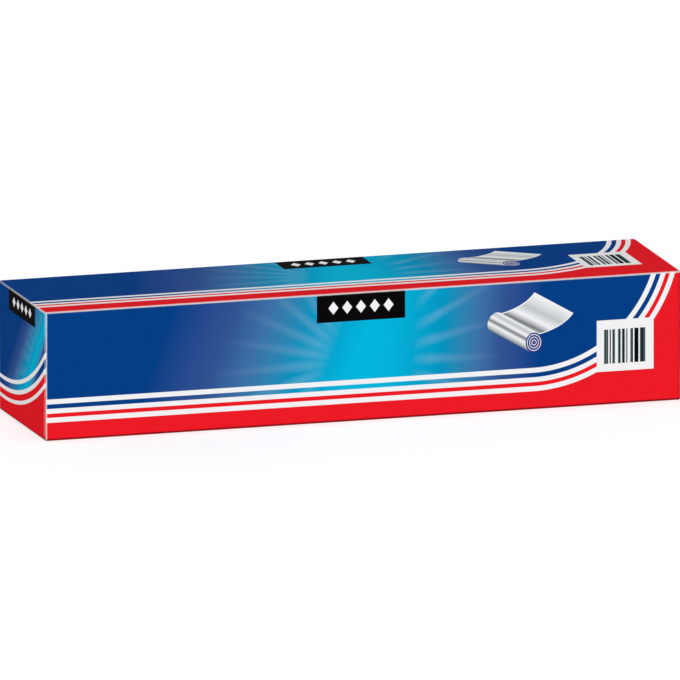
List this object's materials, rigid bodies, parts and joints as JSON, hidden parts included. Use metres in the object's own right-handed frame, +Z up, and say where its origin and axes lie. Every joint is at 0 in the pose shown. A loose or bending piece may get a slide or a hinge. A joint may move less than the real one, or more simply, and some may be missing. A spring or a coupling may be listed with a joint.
{
  "type": "foil roll carton",
  "caption": "Sealed long board carton that holds a wide roll of aluminium foil, with rounded creases, a glued front lap and glued end flaps.",
  "frame": {"origin": "middle of the base, on the surface that the carton stands on", "axes": "+X along the roll, towards the end with the printed label; -Y out of the front, where the lid's lap lies; +Z up, out of the lid"},
  "size_m": [0.475, 0.114, 0.094],
  "materials": {
    "printed_board": "coated board with a semi-gloss print"
  },
  "bodies": {
    "root": {"foil_carton": "printed_board"}
  },
  "joints": []
}
